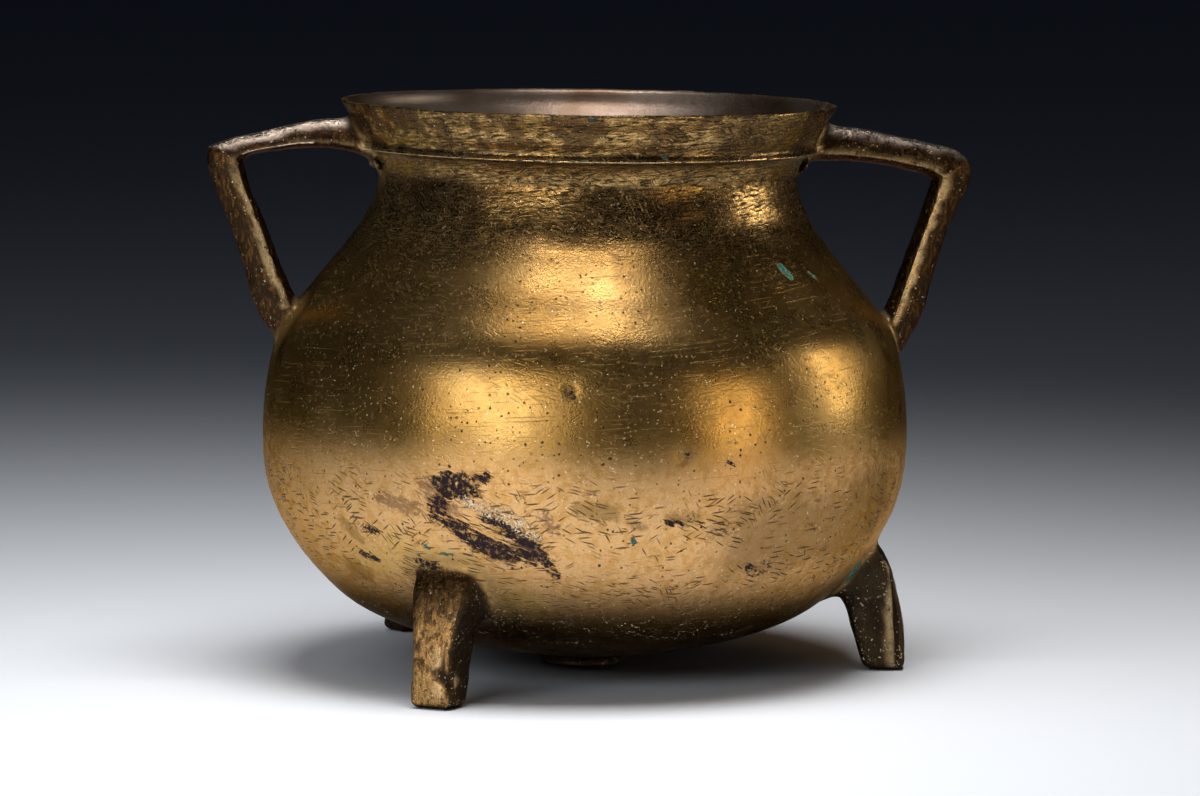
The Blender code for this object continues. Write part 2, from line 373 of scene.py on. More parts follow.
# Softboxes face the belly at AIM: name, degrees to the right of the camera and up, distance, size, watts,
# colour and what each is for.
AIM = Vector((0.0, 0.0, 0.07))
SOFTBOXES = [
    ("top_box", -8, 76, 0.9, (0.5, 0.17), 1.25, (1.0, 0.93, 0.92), "metal"),
    ("front_left_box", -30, 12, 1.0, (0.8, 0.36), 1.9, (1.0, 0.94, 0.84), "metal"),
    ("shadow_fill", -30, 20, 1.2, (0.8, 0.36), 2.0, (0.92, 0.96, 1.0), "floor"),
    ("front_right_box", 53, 6, 1.0, (0.34, 0.28), 0.5, (1.0, 0.77, 0.44), "metal"),
    ("side_box", 100, 14, 1.0, (0.28, 0.42), 0.9, (1.0, 0.93, 0.84), "metal"),
]
SOFTBOX_SPREAD = 120
ROOM_DARK = (0.0035, 0.0045, 0.007, 1.0)
FLOOR_COLOUR = (0.79, 0.815, 0.865, 1.0)
FLOOR_ROUGHNESS = 0.55
FLOOR_SIZE = 30.0

# The photograph's viewpoint, in metres and degrees, and its lens in millimetres.
VIEW_AZIMUTH = 9.0
VIEW_DOWN = math.degrees(0.103)
VIEW_DISTANCE = 1.74
VIEW_HEIGHT = 0.2584
VIEW_ASIDE = 0.00223
LENS = 181.0
SENSOR = 36.0


def on_curve(p, q, r, s, t):
    """Catmull-Rom point between q and r."""
    return 0.5 * (
        2 * q + (r - p) * t + (2 * p - 5 * q + 4 * r - s) * t * t + (3 * q - p - 3 * r + s) * t ** 3)


def smooth_curve(points, count):
    """Smooth curve through the points, with count points on each span."""
    first = (2 * points[0][0] - points[1][0], 2 * points[0][1] - points[1][1])
    last = (-points[-2][0], points[-2][1])
    padded = [first] + points + [last]
    curve = []
    for a, b, c, d in zip(padded, padded[1:], padded[2:], padded[3:]):
        for step in range(count):
            curve.append(tuple(on_curve(*four, step / count) for four in zip(a, b, c, d)))
    return curve + [points[-1]]


def even_steps(points, step):
    """The same line cut into equal lengths close to step."""
    points = np.array(points, float)
    length = np.concatenate([[0], np.cumsum(np.linalg.norm(np.diff(points, axis=0), axis=1))])
    count = max(int(round(length[-1] / step)), 1)
    at = np.linspace(0, length[-1], count + 1)
    return [tuple(float(np.interp(t, length, points[:, k])) for k in range(points.shape[1])) for t in at]


def moved_inward(curve, depth):
    """The curve set back by depth along its normal, towards the inside of the pot."""
    moved = []
    for i, (r, z) in enumerate(curve):
        before, after = curve[max(i - 1, 0)], curve[min(i + 1, len(curve) - 1)]
        run, fall = after[0] - before[0], after[1] - before[1]
        if i == len(curve) - 1:
            fall = 0.0
        length = math.hypot(run, fall)
        moved.append((max(r + depth * fall / length, 0.0), z - depth * run / length))
    return moved


FINE_BELLY = smooth_curve(BELLY, OUTER_SPAN)
OUTER_LINE = LIP + BAND + CORDON + FINE_BELLY


def wall_point(z, depth):
    """Point of the wall at height z on its outer face, set back by depth into the metal."""
    curve = moved_inward(BAND + CORDON + FINE_BELLY, depth)
    for (r0, z0), (r1, z1) in zip(curve, curve[1:]):
        if z1 <= z <= z0:
            return (r0 + (r1 - r0) * (z0 - z) / (z0 - z1), z)
    raise ValueError(f"the wall has no point at height {z}")


def new_object(name, verts, faces):
    mesh = bpy.data.meshes.new(name)
    mesh.from_pydata(verts, [], faces)
    obj = bpy.data.objects.new(name, mesh)
    bpy.context.scene.collection.objects.link(obj)
    return obj


def turned(profile, columns):
    """Closed turned solid from a profile that starts and ends on the axis."""
    verts = [(0.0, 0.0, profile[0][1])]
    turns = [2 * math.pi * k / columns for k in range(columns)]
    for r, z in profile[1:-1]:
        verts += [(r * math.cos(t), r * math.sin(t), z) for t in turns]
    verts.append((0.0, 0.0, profile[-1][1]))
    rows = len(profile) - 2
    faces = []
    for k in range(columns):
        after = (k + 1) % columns
        faces.append((0, 1 + k, 1 + after))
        for row in range(rows - 1):
            a = 1 + row * columns
            b = a + columns
            faces.append((a + k, b + k, b + after, a + after))
        last = 1 + (rows - 1) * columns
        faces.append((last + k, len(verts) - 1, last + after))
    return verts, faces


def pot_wall():
    """The body with its hollow, turned from one closed line that starts on the axis inside."""
    outer = [LIP[-1]] + even_steps(BAND, BAND_STEP) + CORDON + even_steps(FINE_BELLY, OUTER_STEP)
    inner = even_steps(moved_inward(smooth_curve(BELLY, INNER_SPAN), WALL), INNER_STEP)[::-1]
    inner[0] = (0.0, inner[0][1])
    rim = even_steps(RIM_INNER + [LIP[0]], RIM_STEP)[:-1]
    profile = inner[:-1] + rim + LIP[:-1] + outer
    verts, faces = turned(profile, COLUMNS)
    return new_object("cast_pot", verts, faces)


def beside_line(r, across, azimuth):
    """x and y at a radius along an azimuth and at a distance to its side."""
    return (
        r * math.cos(azimuth) - across * math.sin(azimuth),
        r * math.sin(azimuth) + across * math.cos(azimuth),
    )


def section(outer, inner, half_width, roundness, arris, azimuth, around):
    """Closed ring across a limb; roundness 1 is a diamond, 2 an ellipse and more is boxy.

    A negative arris moves its widest place towards the inner side.
    """
    middle = ((outer[0] + inner[0]) / 2, (outer[1] + inner[1]) / 2)
    half = ((outer[0] - inner[0]) / 2, (outer[1] - inner[1]) / 2)
    ring = []
    for k in range(around):
        turn = 2 * math.pi * k / around
        u = math.copysign(abs(math.cos(turn)) ** (2 / roundness), math.cos(turn))
        v = math.copysign(abs(math.sin(turn)) ** (2 / roundness), math.sin(turn))
        u += arris * (1 - abs(u))
        r, z = middle[0] + u * half[0], middle[1] + u * half[1]
        ring.append((*beside_line(r, v * half_width, azimuth), z))
    return ring


def fine_rows(rows, step, corner=None):
    """Rows between the given ones on a smooth curve, with a kink at the corner row."""
    rows = [(*outer, *inner, width) for outer, inner, width in rows]
    cuts = [0, corner, len(rows) - 1] if corner else [0, len(rows) - 1]
    fine = []
    for first, last in zip(cuts, cuts[1:]):
        part = np.array(rows[first:last + 1])
        padded = np.vstack([2 * part[0] - part[1], part, 2 * part[-1] - part[-2]])
        for p, q, r, s in zip(padded, padded[1:], padded[2:], padded[3:]):
            count = max(int(round(np.linalg.norm((r - q)[:4]) / math.sqrt(2) / step)), 1)
            fine += [on_curve(p, q, r, s, t) for t in np.arange(count) / count]
    fine.append(np.array(rows[-1]))
    return [((a, b), (c, d), width) for a, b, c, d, width in fine]


def limb(name, rows, roundness, arris, azimuth, around):
    """Closed loft through a row of unlike sections."""
    rings = [section(*row, roundness, arris, azimuth, around) for row in rows]
    verts = [point for ring in rings for point in ring]
    n = around
    faces = [tuple(range(n)), tuple(range(len(verts) - 1, len(verts) - 1 - n, -1))]
    for start in range(0, len(verts) - n, n):
        for k in range(n):
            after = (k + 1) % n
            faces.append((start + k, start + n + k, start + n + after, start + after))
    obj = new_object(name, verts, faces)
    mesh = bmesh.new()
    mesh.from_mesh(obj.data)
    bmesh.ops.recalc_face_normals(mesh, faces=mesh.faces)
    mesh.to_mesh(obj.data)
    mesh.free()
    return obj


def handle(name, rows, low_root, azimuth):
    top, low, half_width = HANDLE_TOP_ROOT
    start = (wall_point(top, ROOT_DEPTH), wall_point(low, ROOT_DEPTH), half_width)
    low, high, half_width = low_root
    end = (wall_point(low, ROOT_DEPTH), wall_point(high, ROOT_DEPTH), half_width)
    rows = fine_rows([start] + rows + [end], HANDLE_ALONG, ELBOW_ROW)
    return limb(name, rows, HANDLE_ROUNDNESS, HANDLE_ARRIS, azimuth, HANDLE_AROUND)


def foot(name, degrees, spread):
    rows = []
    for outer, inner, half_width in FOOT:
        moved = [(r + spread * (1 - z / FOOT_ROOT_Z), z) for r, z in (outer, inner)]
        rows.append((*moved, half_width))
    high, low, half_width = FOOT_ROOT
    root = (wall_point(high, ROOT_DEPTH), wall_point(low, ROOT_DEPTH), half_width)
    rows = fine_rows(rows + [root], FOOT_ALONG)
    return limb(name, rows, FOOT_ROUNDNESS, 0.0, math.radians(degrees), FOOT_AROUND)


def gate_stump():
    side = even_steps([(GATE_RADIUS, GATE_TOP_Z), (GATE_RADIUS, GATE_BOTTOM_Z)], GATE_SIDE_STEP)
    bottom = even_steps([(GATE_RADIUS, GATE_BOTTOM_Z), (0.0, GATE_BOTTOM_Z)], GATE_BOTTOM_STEP)
    profile = [(0.0, GATE_TOP_Z)] + side + bottom[1:]
    verts, faces = turned(profile, GATE_COLUMNS)
    return new_object("gate", verts, faces)


def combine(target, tool, operation):
    """Joins or cuts by an exact Boolean and removes the tool."""
    change = target.modifiers.new("combine", "BOOLEAN")
    change.operation = operation
    change.solver = "EXACT"
    change.object = tool
    graph = bpy.context.evaluated_depsgraph_get()
    done = bpy.data.meshes.new_from_object(target.evaluated_get(graph))
    target.modifiers.clear()
    old = target.data
    target.data = done
    bpy.data.meshes.remove(old)
    bpy.data.objects.remove(tool, do_unlink=True)


def cast_in_one():
    pot = pot_wall()
    for tool in (
        handle("handle_right", HANDLE_RIGHT, LOW_ROOT_RIGHT, 0.0),
        handle("handle_left", HANDLE_LEFT, LOW_ROOT_LEFT, math.pi),
        gate_stump(),
        *[foot(f"foot_{n}", degrees, spread) for n, (degrees, spread) in enumerate(FEET)],
    ):
        combine(pot, tool, "UNION")
    return pot


def lean_matrix():
    """From the pot's own upright frame to the part's frame, both in millimetres."""
    toward = math.radians(LEAN_TOWARD)
    axis = Vector((-math.sin(toward), math.cos(toward), 0.0))
    turn = Matrix.Rotation(math.radians(LEAN), 4, axis)
    middle = Vector((0.0, 0.0, BELLY_MID_Z))
    return Matrix.Translation(Vector((AXIS_X, 0.0, 0.0)) + middle) @ turn @ Matrix.Translation(-middle)


LEAN_ROWS = np.array(lean_matrix())
UPRIGHT_ROWS = np.linalg.inv(LEAN_ROWS)


def floor_block():
    bpy.ops.mesh.primitive_cube_add(size=CUT_SIZE, location=(0.0, 0.0, -CUT_SIZE / 2))
    return bpy.context.object


def through(rows, points):
    """The points moved by the rows of a matrix."""
    return points @ rows[:3, :3].T + rows[:3, 3]


def read(items, key, width, kind=float):
    flat = np.empty(len(items) * width, kind)
    items.foreach_get(key, flat)
    return flat.reshape(-1, width)


def read_points(mesh):
    return read(mesh.vertices, "co", 3)


def read_normals(mesh):
    return read(mesh.vertex_normals, "vector", 3)


def neighbours(mesh):
    """The two vertices of each edge."""
    return read(mesh.edges, "vertices", 2, int)


def write_points(mesh, points):
    mesh.vertices.foreach_set("co", points.ravel())
    mesh.update()


def radii(points):
    return np.hypot(points[:, 0], points[:, 1])


def smooth_step(low, high, value):
    t = np.clip((value - low) / (high - low), 0.0, 1.0)
    return t * t * (3 - 2 * t)


def field(points, size, seed):
    """Smooth noise from -1 to 1 whose bumps are about size wide; size may be one per axis."""
    shift = Vector([seed * part for part in SEED_SHIFT])
    return np.array([noise.noise(Vector(p) + shift) for p in points / np.array(size)])


def outside_distance(points):
    """How far each point, in the upright frame, stands outside the turned outer surface."""
    radius = radii(points)
    distance = np.full(len(points), 1e9)
    side = np.ones(len(points))
    line = np.array(OUTER_LINE)
    for start, end in zip(line, line[1:]):
        length = np.hypot(*(end - start))
        if length < SAME_POINT:
            continue
        along = (end - start) / length
        from_r, from_z = radius - start[0], points[:, 2] - start[1]
        t = np.clip(from_r * along[0] + from_z * along[1], 0, length)
        dr, dz = from_r - t * along[0], from_z - t * along[1]
        gap = np.hypot(dr, dz)
        nearer = gap < distance
        distance[nearer] = gap[nearer]
        side[nearer] = np.where(dz * along[0] - dr * along[1] >= 0, 1.0, -1.0)[nearer]
    return distance * side


def clean_seams(mesh, near):
    """Merges the slivers that the Boolean leaves beside the limbs and cuts up its large faces."""
    work = bmesh.new()
    work.from_mesh(mesh)
    work.verts.ensure_lookup_table()
    close = [work.verts[i] for i in np.nonzero(near)[0]]
    bmesh.ops.remove_doubles(work, verts=close, dist=SEAM_MERGE)
    torn = [e for e in work.edges if e.is_boundary]
    bmesh.ops.holes_fill(work, edges=torn, sides=HOLE_SIDES)
    many = [f for f in work.faces if len(f.verts) > 4]
    bmesh.ops.triangulate(work, faces=many)
    work.to_mesh(mesh)
    work.free()


def average_around(values, edges):
    """Mean of each vertex's neighbours, for one column of values."""
    size = len(values)
    total = np.bincount(edges[:, 0], values[edges[:, 1]], size)
    total += np.bincount(edges[:, 1], values[edges[:, 0]], size)
    return total / np.bincount(edges.ravel(), minlength=size).clip(1)


def relax(points, edges, weight, rounds):
    """Each point moved towards the middle of its neighbours, as far as its weight says."""
    for _ in range(rounds):
        mean = np.stack([average_around(points[:, k], edges) for k in range(3)], axis=1)
        points = points + weight[:, None] * (mean - points)
    return points


def seam_vertices(points, edges):
    """Vertices on the turned surface that have a neighbour on a limb, outside it."""
    out = outside_distance(points)
    on_wall = np.abs(out) < ON_WALL
    on_limb = out > OFF_WALL
    seam = np.zeros(len(points), bool)
    for a, b in ((0, 1), (1, 0)):
        seam[edges[on_wall[edges[:, a]] & on_limb[edges[:, b]], a]] = True
    return seam


def distance_to(points, chosen):
    """Distance of each point from the nearest chosen one."""
    tree = KDTree(int(chosen.sum()))
    for i, point in enumerate(points[chosen]):
        tree.insert(point, i)
    tree.balance()
    return np.array([tree.find(point)[2] for point in points])


def on_wall_at(degrees, z):
    """Point of the outer face at an azimuth and height, in the upright frame."""
    return np.array((*beside_line(wall_point(z, 0.0)[0], 0.0, math.radians(degrees)), z))


def near_lines(points, lines):
    """1 on each line along the outer face and less away from it, down to 0 at its reach."""
    mask = np.zeros(len(points))
    for degrees, z, end_degrees, end_z, reach in lines:
        gap = segment_gap(points, on_wall_at(degrees, z), on_wall_at(end_degrees, end_z))
        mask = np.maximum(mask, 1 - smooth_step(0.0, reach, gap))
    return mask


def foot_place(n, place):
    """Point of the upright frame for a place on foot n, as FOOT_GROOVES gives it."""
    r, across, z = place
    degrees, spread = FEET[n]
    return (*beside_line(r + spread * (1 - z / FOOT_ROOT_Z), across, math.radians(degrees)), z)


def segment_gap(points, start, end):
    """Distance of each point from a straight line between two points."""
    start, run = np.array(start), np.subtract(end, start)
    t = np.clip((points - start) @ run / (run @ run), 0, 1)
    return np.linalg.norm(points - start - t[:, None] * run, axis=1)


def worn_feet(points, normals):
    """The feet's lower edges, worn round where they stand."""
    z = through(LEAN_ROWS, points)[:, 2]
    depth = FOOT_WEAR - np.sqrt(np.clip(FOOT_WEAR ** 2 - (FOOT_WEAR - z).clip(0) ** 2, 0, None))
    depth *= radii(points) > FOOT_INNER_RADIUS
    least, clear = LEVEL_ENOUGH
    level = normals * (1, 1, 0)
    size = np.linalg.norm(level, axis=1)
    return points - level * (depth * (size > least) / size.clip(clear))[:, None]


def dents(kind, points):
    """Depth of one row of DENTS at each point, never below 0."""
    return sum(depth * (1 - field(points, size, seed)) for depth, size, seed in DENTS[kind])


def uneven(points, normals, out):
    """Dents and waves of a casting that was filed by hand; they only go inwards."""
    z = points[:, 2]
    limb = smooth_step(*LIMB_OUT, out)
    neck = smooth_step(*NECK_START_Z, z) * (1 - smooth_step(*NECK_END_Z, z)) * (1 - limb)
    band = smooth_step(*BAND_DENT_Z, z) * (1 - limb)
    depth = dents("all", points)
    depth += neck * dents("neck", points)
    depth += band * dents("band", points)
    depth += limb * dents("limb", points)
    depth *= 1 - LESS_AT_FOOT * (1 - smooth_step(*FOOT_END_Z, z)) * (radii(points) > FOOT_INNER_RADIUS)
    depth *= np.where(out < DENT_INSIDE_OUT, SHARE_INSIDE, 1.0)
    depth *= 1 - LESS_AT_LIP * smooth_step(*BAND_SMOOTHER_Z, z) * (1 - limb)
    return points - normals * depth[:, None]


def all_grooves():
    """Both tables of grooves, as places in the upright frame."""
    return GROOVES + [
        (foot_place(n, start), foot_place(n, end), reach, deep)
        for n, start, end, reach, deep in FOOT_GROOVES
    ]


def carve(points, even, normals):
    """Grooves, casting holes and pits at their own places on the even surface."""
    depth = np.zeros(len(points))
    for start, end, reach, deep in all_grooves():
        depth += deep * (1 - smooth_step(0.0, reach, segment_gap(even, start, end)))
    for degrees, z, reach, deep in PITS:
        depth = np.maximum(depth, deep * near_lines(even, [(degrees, z, degrees + PIT_TURN, z, reach)]))
    return points - normals * depth[:, None]


def lip_wobble(points):
    """The lip's height varies a little round the mouth."""
    top = smooth_step(*LIP_Z, points[:, 2])
    near = (radii(points) < LIP_RADIUS) & (top > 0)
    drop = np.zeros(len(points))
    drop[near] = top[near] * dents("lip", points[near] * (1, 1, 0))
    return points - np.outer(drop, (0, 0, 1))


def shape_pot():
    """One casting with filleted joints, a hand-made unevenness and worn edges, in its upright frame.

    Also returns its points before the unevenness, how far each stands outside the turned surface, and
    its distance from the nearest joint.
    """
    pot = cast_in_one()
    mesh = pot.data
    write_points(mesh, through(LEAN_ROWS, read_points(mesh)))
    combine(pot, floor_block(), "DIFFERENCE")
    mesh = pot.data
    write_points(mesh, through(UPRIGHT_ROWS, read_points(mesh)))
    points = read_points(mesh)
    clean_seams(mesh, distance_to(points, seam_vertices(points, neighbours(mesh))) < SEAM_REACH)

    points, edges = read_points(mesh), neighbours(mesh)
    gap = distance_to(points, seam_vertices(points, edges))
    gap += GATE_SHARPER * (radii(points) < GATE_RADIUS + GATE_MARGIN)
    fillet = 1 - smooth_step(*FILLET, gap)
    fillet *= smooth_step(*FILLET_ABOVE_FLOOR, through(LEAN_ROWS, points)[:, 2])
    out = outside_distance(points)
    fillet *= out > INNER_FACE
    points = relax(points, edges, SMOOTHING * fillet, FILLET_ROUNDS)
    for side, rows in ((1, HANDLE_RIGHT), (-1, HANDLE_LEFT)):
        (r, z), _, _ = rows[ELBOW_ROW - 1]
        corner = segment_gap(points, (side * r, -ELBOW_HALF_WIDTH, z), (side * r, ELBOW_HALF_WIDTH, z))
        points = relax(points, edges, SMOOTHING * (1 - smooth_step(*ELBOW, corner)), ELBOW_ROUNDS)
    write_points(mesh, points)
    even = worn_feet(points, read_normals(mesh))
    write_points(mesh, even)
    points = uneven(even, read_normals(mesh), out)
    write_points(mesh, points)
    points = lip_wobble(carve(points, even, read_normals(mesh)))
    write_points(mesh, points)
    return pot, even, out, gap


def bend(points, edges, normals):
    """Positive on edges that stick out, negative in hollow corners."""
    mean = np.stack([average_around(points[:, k], edges) for k in range(3)], axis=1)
    curve = np.sum((points - mean) * normals, axis=1)
    for _ in range(2):
        curve = 0.5 * curve + 0.5 * average_around(curve, edges)
    return curve


def store(mesh, name, values):
    mesh.attributes.new(name, "FLOAT", "POINT").data.foreach_set("value", np.asarray(values, np.float32))


def rubbed_and_lit_face(points, normals):
    """The outer face of the front foot, which faces the key light: bright from handling, with painted light
    on it.
    """
    toward = np.array((*beside_line(1.0, 0.0, math.radians(FEET[FRONT_FOOT][0])), 0.0))
    near = points[:, :2] @ toward[:2] > FOOT_INNER_RADIUS
    return smooth_step(*OUTWARD, normals @ toward) * near * (points[:, 2] < FOOT_ROOT_Z)


def mark_surface(pot, even, out, gap):
    """Attributes that the material reads: where the metal is rubbed, crusted, stained or inside, and where
    painted highlights and painted shade go.

    "arc" is the distance down the outer line, and "bend" is positive on edges.
    """
    mesh = pot.data
    points, normals, edges = read_points(mesh), read_normals(mesh), neighbours(mesh)
    z = points[:, 2]
    radius = radii(points)
    outward = np.sum(points * (1, 1, 0) * normals, axis=1) / radius.clip(1)
    limb = smooth_step(*LIMB_OUT, out)
    inside = smooth_step(*INSIDE_OUT, out)
    facing_in = (z > INNER_RIM_Z) * (out <= LIMB_OUT[0]) * smooth_step(*INWARD, outward)
    inside = np.maximum(inside, facing_in)
    wall = (1 - limb) * (1 - inside)
    # The front foot's face toward the key light, painted lighter: wear and painted light.
    face = limb * rubbed_and_lit_face(points, normals)
    gate = (radius < 2 * GATE_RADIUS) & (z < FOOT_ROOT[1])
    # The feet, except the face toward the key light: soot and painted shade.
    foot_side = FOOT_SOOT_AND_SHADE * limb * (z < FOOT_ROOT_Z) * (1 - face)
    # The low belly: soot and painted shade, darker towards the bottom.
    underneath_soot_and_shade = wall * (1 - smooth_step(*SOOT_AND_SHADE_Z, z))
    high = limb * (z > FOOT_ROOT_Z)
    # Painted highlight along the handles' edges that face the camera and along the cordon; ridges on the
    # feet get some too.
    arris = high * smooth_step(*SIDEWAYS, np.abs(normals[:, 1]))
    arris *= 1 - LESS_AT_ROOT * smooth_step(*HANDLE_ROOT_Z, z)
    arris *= np.where(points[:, 0] < 0, LEFT_HANDLE_EDGE, 1.0)
    arris = np.maximum(arris, wall * (1 - smooth_step(*CORDON_EDGE, np.abs(z - CORDON_Z))))
    groove = np.zeros(len(points))
    for start, end, reach, deep in all_grooves():
        near = 1 - smooth_step(GROOVE_CORE * reach, reach, segment_gap(even, start, end))
        if deep > 0:
            groove = np.maximum(groove, near)
        else:
            arris = np.maximum(arris, RIDGE_EDGE * near)
    line = np.array(OUTER_LINE)
    run = np.concatenate([[0], np.cumsum(np.hypot(*np.diff(line, axis=0).T))])
    order = np.argsort(line[:, 1], kind="stable")
    for name, values in {
        "limb": limb,
        "inside": inside,
        "rubbed": wall * (1 - smooth_step(*RUBBED_END_Z, z)) * smooth_step(*RUBBED_START_Z, z),
        "soot_and_shade": np.maximum.reduce([underneath_soot_and_shade, gate * (1 - inside), foot_side]),
        # Upward faces of the handles: polish with a painted highlight.
        "polish_and_highlight": high * smooth_step(*UPWARD, normals[:, 2]),
        "arris": arris,
        "groove": groove,
        "face": face,
        "upper": wall * smooth_step(*UPPER_Z, z),
        "band": wall * smooth_step(*BAND_Z, z),
        "bend": bend(points, edges, normals),
        # Painted shade by the joints.
        "seam": 1 - smooth_step(*JOINT_SHADE, gap),
        "arc": np.interp(z, line[order, 1], run[order]),
        **{name: wall * near_lines(points, places) for name, places in STAINS.items()},
    }.items():
        store(mesh, name, values)


def to_metres(pot):
    """The finished mesh in the part's frame, kept inside the CAD box."""
    mesh = pot.data
    low, high = (np.array(corner) for corner in cad_box)
    write_points(mesh, (through(LEAN_ROWS, read_points(mesh)) * MM).clip(low, high))
    mesh.shade_smooth()
    mesh.name = pot.name = "bronze_pot"


class Tree:
    """Shorthand for building one material's nodes; a value is a number, a tuple or an output socket."""

    def __init__(self, name):
        self.material = bpy.data.materials.new(name)
        self.material.use_nodes = True
        self.nodes = self.material.node_tree.nodes
        self.links = self.material.node_tree.links
        self.nodes.clear()

    def add(self, kind, inputs, **settings):
        node = self.nodes.new(kind)
        for key, value in settings.items():
            setattr(node, key, value)
        for key, value in inputs.items():
            socket = node.inputs[key]
            if isinstance(value, bpy.types.NodeSocket):
                self.links.new(value, socket)
            else:
                socket.default_value = value
        return node

    def math(self, operation, *values):
        return self.add("ShaderNodeMath", dict(enumerate(values)), operation=operation).outputs[0]

    def chain(self, operation, first, *others):
        for other in others:
            first = self.math(operation, first, other)
        return first

    def product(self, *values):
        return self.chain("MULTIPLY", *values)

    def total(self, *values):
        return self.chain("ADD", *values)

    def most(self, *values):
        return self.chain("MAXIMUM", *values)

    def less(self, value):
        """1 minus the value."""
        return self.math("SUBTRACT", 1.0, value)

    def step(self, value, low, high, start=0.0, end=1.0):
        """A smooth change from start to end while the value goes from low to high."""
        return self.add("ShaderNodeMapRange", {
            "Value": value, "From Min": low, "From Max": high, "To Min": start, "To Max": end,
        }, interpolation_type="SMOOTHSTEP").outputs["Result"]

    def attribute(self, name):
        return self.add("ShaderNodeAttribute", {}, attribute_name=name).outputs["Fac"]

    def noise(self, vector, size, detail=2.0, roughness=0.5):
        """Noise from 0 to 1 with bumps about size millimetres wide."""
        return self.add("ShaderNodeTexNoise", {
            "Vector": vector, "Scale": 1 / size, "Detail": detail, "Roughness": roughness,
        }).outputs["Fac"]

    def mapped(self, vector, degrees=0.0, scale=(1.0, 1.0, 1.0), shift=(0.0, 0.0, 0.0)):
        """The vector turned about z, then shifted, then scaled."""
        turned = self.add("ShaderNodeMapping", {
            "Vector": vector, "Location": shift, "Rotation": (0.0, 0.0, math.radians(degrees)),
        }).outputs[0]
        return self.add("ShaderNodeVectorMath", {0: turned, 1: scale}, operation="MULTIPLY").outputs[0]

    def cells(self, vector, dimensions):
        """Distance from the middle of random cells of size 1, and two random numbers for each cell."""
        node = self.add(
            "ShaderNodeTexVoronoi", {"Vector": vector, "Scale": 1.0}, voronoi_dimensions=dimensions)
        chance = self.add("ShaderNodeSeparateColor", {0: node.outputs["Color"]}).outputs
        return node.outputs["Distance"], chance[0], chance[1]

    def mix(self, amount, first, second):
        inputs = {"Factor": amount}
        for socket, value in ((6, first), (7, second)):
            inputs[socket] = (*value, 1.0) if isinstance(value, tuple) else value
        return self.add("ShaderNodeMix", inputs, data_type="RGBA").outputs[2]

    def mix_number(self, amount, first, second):
        return self.add("ShaderNodeMix", {"Factor": amount, 2: first, 3: second}).outputs[0]

    def painted(self, colour, *layers):
        """The colour with layers over it, each an amount and a colour."""
        for amount, over in layers:
            colour = self.mix(amount, colour, over)
        return colour


def file_strokes(t, place, flat, z):
    """Strokes in several directions, each over its own areas, and most low on the belly or high up."""
    lines = []
    for degrees, length, width, seed, presence in STROKES:
        turned = t.mapped(flat, degrees, (1 / length, 1 / width, 1.0), (seed, -seed, 0.0))
        distance, strength, _ = t.cells(turned, "2D")
        area = t.noise(t.mapped(place, shift=(seed * 7.0, 0.0, seed)), 17.0, 2.0)
        here = t.step(area, presence, presence + 0.1)
        lines.append(t.product(t.step(distance, 0.23, 0.1), here, t.step(strength, 0.1, 0.6)))
    below, above = t.step(z, *STROKES_BELOW_Z), t.step(z, *STROKES_ABOVE_Z)
    share = t.total(t.product(below, 0.95), t.product(above, 0.9))
    return t.product(t.most(*lines), t.most(share, 0.18))


def small_pits(t, place, patch, grain):
    """Ragged pits of two sizes."""
    ragged = t.math("SUBTRACT", grain, 0.5)
    distance, chance, _ = t.cells(t.mapped(place, scale=(1 / SMALL_CELL,) * 3, shift=(5.3, 9.1, 2.7)), "3D")
    distance = t.total(distance, t.product(ragged, 0.35))
    width = t.math("SUBTRACT", t.step(chance, 0.45, 1.0, 0.0, 0.3), distance)
    small = t.product(t.step(width, 0.0, 0.08), t.step(patch, 0.4, 0.6, 0.35, 1.0))
    distance, _, chance = t.cells(t.mapped(place, scale=(1 / LARGE_CELL,) * 3, shift=(3.1, 1.7, 9.3)), "3D")
    distance = t.total(distance, t.product(ragged, 0.14))
    width = t.math("SUBTRACT", t.step(chance, 0.4, 0.95, 0.02, 0.08), distance)
    return t.most(small, t.step(width, 0.0, 0.03))


